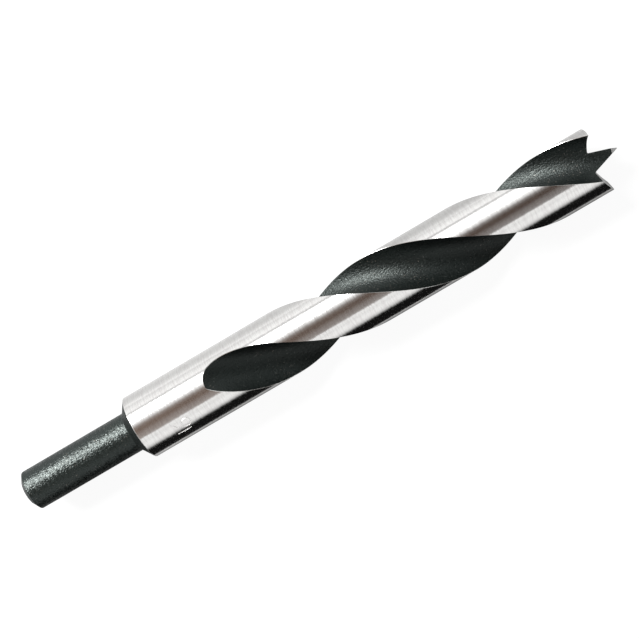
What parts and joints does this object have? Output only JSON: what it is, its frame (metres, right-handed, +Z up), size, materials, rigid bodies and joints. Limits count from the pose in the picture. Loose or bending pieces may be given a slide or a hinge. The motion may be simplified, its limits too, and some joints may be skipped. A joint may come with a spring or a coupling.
{
  "type": "wood drill bit",
  "caption": "Straight-shank wood drill bit with wide right-hand spiral flutes, outer spurs and a brad centre point.",
  "frame": {"origin": "centre of the shank's flat end face, on the bit's axis", "axes": "+X along the axis from the shank's end to the brad point, +Z up with the bit lying on its lands"},
  "size_m": [0.161, 0.016, 0.016],
  "materials": {
    "tool_steel": "bright ground lands and collar, black oxide in the flutes and on the shank"
  },
  "bodies": {
    "root": {"drill_bit": "tool_steel"}
  },
  "joints": []
}
